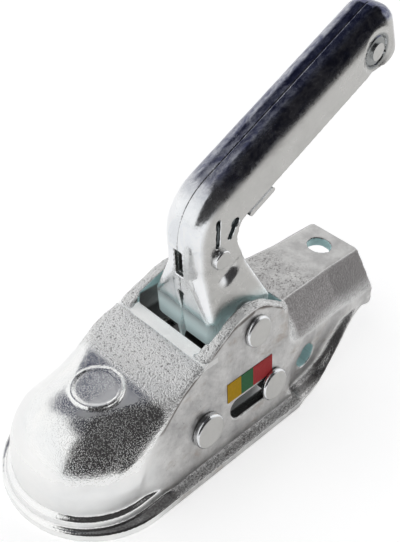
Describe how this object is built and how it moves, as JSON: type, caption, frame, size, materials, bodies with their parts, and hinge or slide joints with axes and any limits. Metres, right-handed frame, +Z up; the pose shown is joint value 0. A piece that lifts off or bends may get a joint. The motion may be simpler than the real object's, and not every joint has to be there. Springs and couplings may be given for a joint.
{
  "type": "trailer coupling head",
  "caption": "Pressed steel trailer coupling head with a ball seat, a lifting handle with safety catch, a sliding indicator pin and a tail socket for a drawbar tube.",
  "frame": {"origin": "centre of the coupled towing ball", "axes": "+X to the nose, +Y to the left side with the indicator label, +Z up"},
  "size_m": [0.211, 0.085, 0.1857],
  "materials": {
    "body_zinc": "bright zinc plated steel, grained on the crown and satin on the sides",
    "handle_zinc": "bright zinc plated sheet steel, glossy with fine scratches",
    "catch_zinc": "satin zinc plated steel",
    "pin_zinc": "turned and zinc plated steel",
    "inner_steel": "plain machined steel",
    "spring_steel": "dark oiled spring wire",
    "label_film": "printed film in plain yellow, green and red fields"
  },
  "bodies": {
    "body": {"coupling_body": "body_zinc", "handle_pivot_pin": "pin_zinc", "pivot_pin_collar": "pin_zinc", "pivot_washer_left": "pin_zinc", "pivot_washer_right": "pin_zinc", "jaw_pin": "pin_zinc", "jaw_pin_collar": "pin_zinc", "indicator_label": "label_film"},
    "handle": {"handle_shell_left": "handle_zinc", "handle_shell_right": "handle_zinc", "handle_end_rivet": "pin_zinc", "handle_end_sleeve": "inner_steel", "handle_pivot_tube": "inner_steel", "catch_pin": "pin_zinc", "handle_spring": "spring_steel", "catch_spring": "spring_steel"},
    "catch": {"safety_catch": "catch_zinc"},
    "slider": {"indicator_pin": "pin_zinc", "indicator_disc": "pin_zinc", "slot_roller_left": "inner_steel", "slot_roller_right": "inner_steel", "pressure_block": "inner_steel"},
    "jaw": {"ball_jaw": "inner_steel", "jaw_bush": "inner_steel"}
  },
  "joints": [
    {"name": "handle_lift", "type": "hinge", "parent": "body", "child": "handle", "pos_m": [-0.0703, 0, 0.0433], "axis": [0, 1, 0], "range_deg": [-35, 0]},
    {"name": "indicator_slide", "type": "slide", "parent": "body", "child": "slider", "axis": [1, 0, 0], "range_m": [0, 0.0229]},
    {"name": "jaw_rock", "type": "hinge", "parent": "body", "child": "jaw", "pos_m": [-0.0355, 0, 0.0085], "axis": [0, 1, 0], "range_deg": [-15, 0]},
    {"name": "catch_press", "type": "hinge", "parent": "handle", "child": "catch", "pos_m": [-0.0569, 0, 0.0816], "axis": [0, 1, 0], "range_deg": [0, 6.5], "stiffness_Nm_per_rad": 0.3, "springref_deg": -11.46}
  ],
  "couplings": [
    {"joint": "indicator_slide", "follows": "handle_lift", "m_per_rad": -0.03748},
    {"joint": "jaw_rock", "follows": "handle_lift", "ratio": 0.42857}
  ]
}
